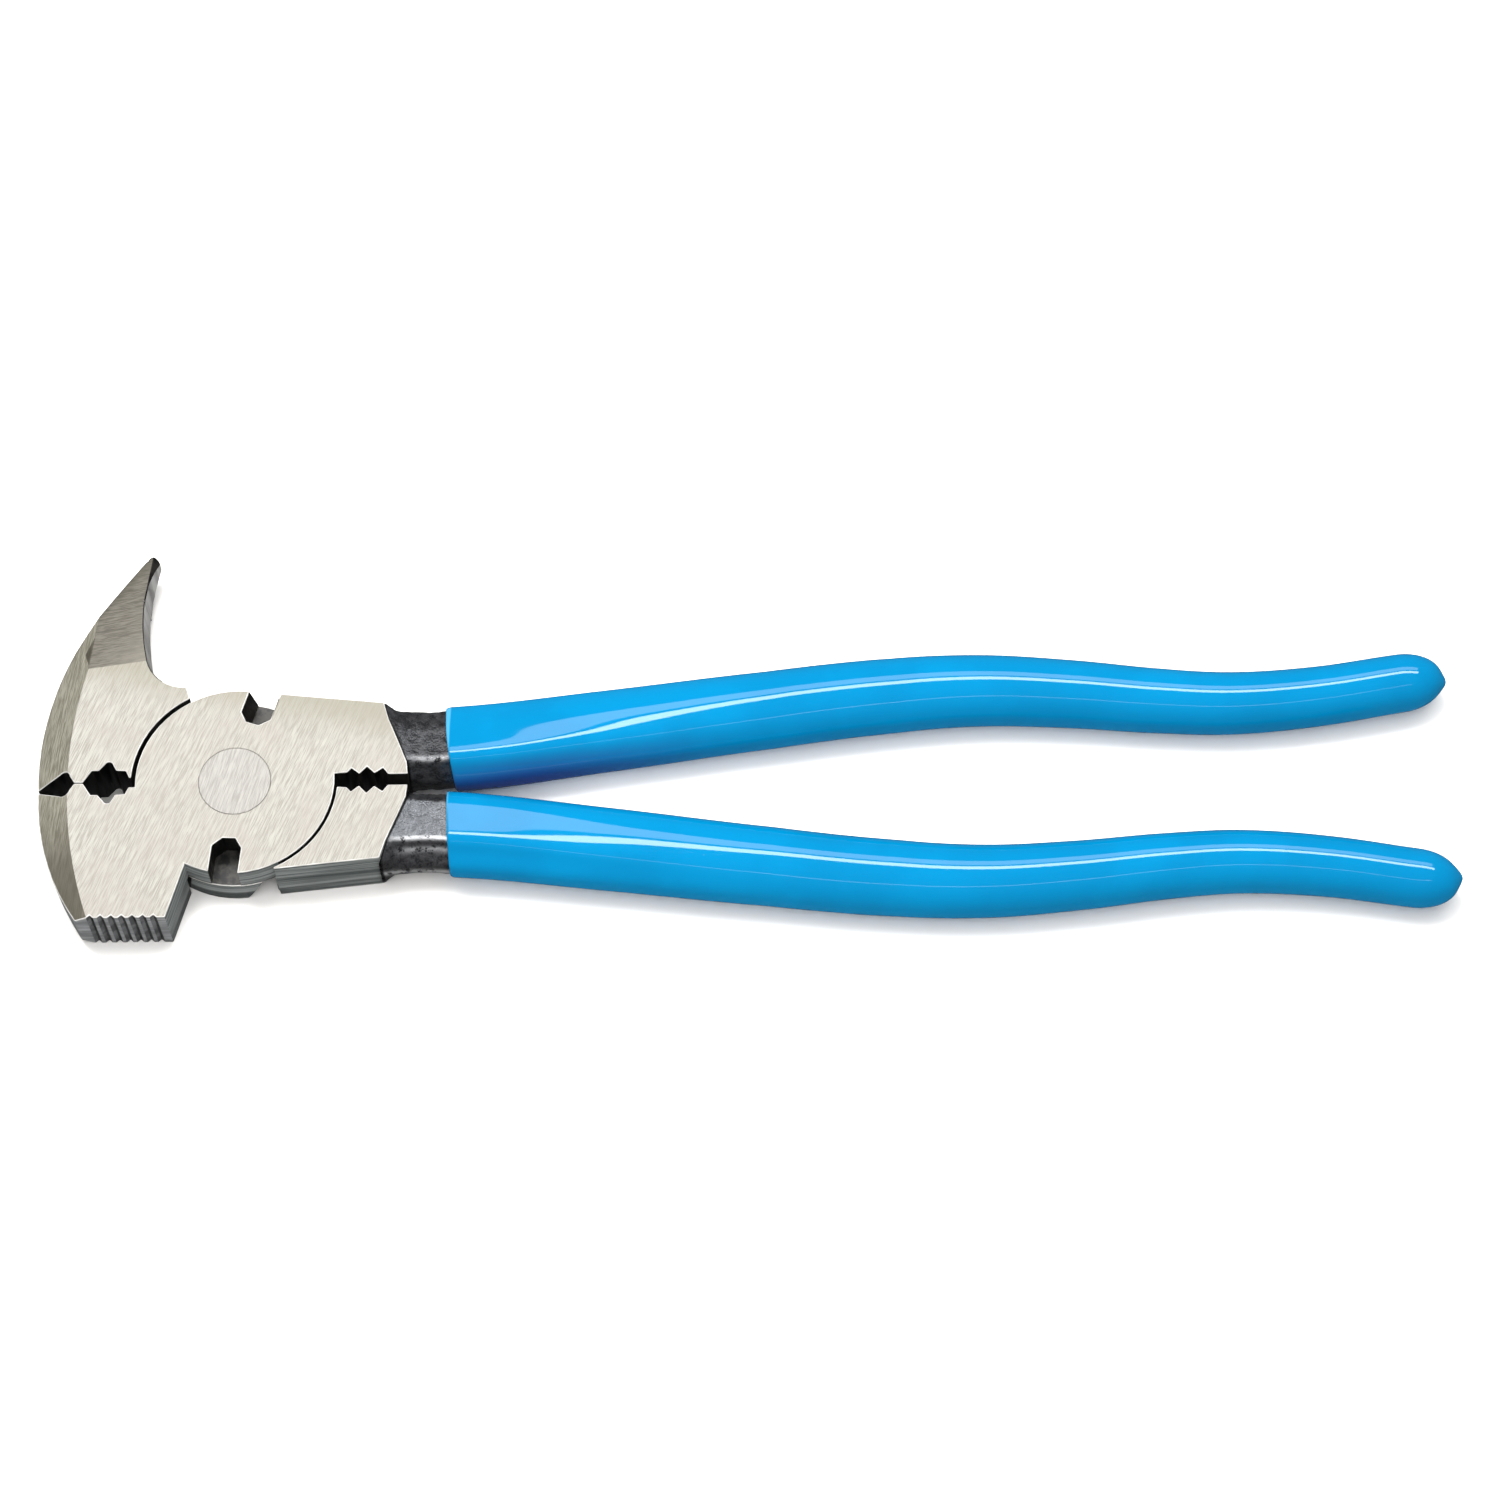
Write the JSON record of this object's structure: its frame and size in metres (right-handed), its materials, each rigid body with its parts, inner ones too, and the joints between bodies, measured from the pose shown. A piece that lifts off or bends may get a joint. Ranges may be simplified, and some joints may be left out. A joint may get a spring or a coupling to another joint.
{
  "type": "fencing pliers",
  "caption": "Multi-use fencing pliers: hammer head and pointed claw around a lapped pivot disc with wire cutters and toothed jaws, on two curved handles with dipped grips.",
  "frame": {"origin": "on the pivot axis, in the plane of the head's flat back face", "axes": "+X along the closed pliers' mid line towards the handles, +Y towards the claw's point, +Z out of the front face"},
  "size_m": [0.2662, 0.0765, 0.0124],
  "materials": {
    "head_steel": "flat ground and polished on the head, black forging scale on the necks",
    "rivet_steel": "ground flush with the head",
    "grip_vinyl": "glossy dipped vinyl"
  },
  "bodies": {
    "hammer_handle": {"hammer_half": "head_steel", "pivot_rivet": "rivet_steel", "hammer_half_grip": "grip_vinyl"},
    "claw_handle": {"claw_half": "head_steel", "claw_half_grip": "grip_vinyl"}
  },
  "joints": [
    {"name": "pivot", "type": "hinge", "parent": "hammer_handle", "child": "claw_handle", "pos_m": [0, 0, 0.0062], "axis": [0, 0, -1], "range_deg": [0, 45]}
  ]
}
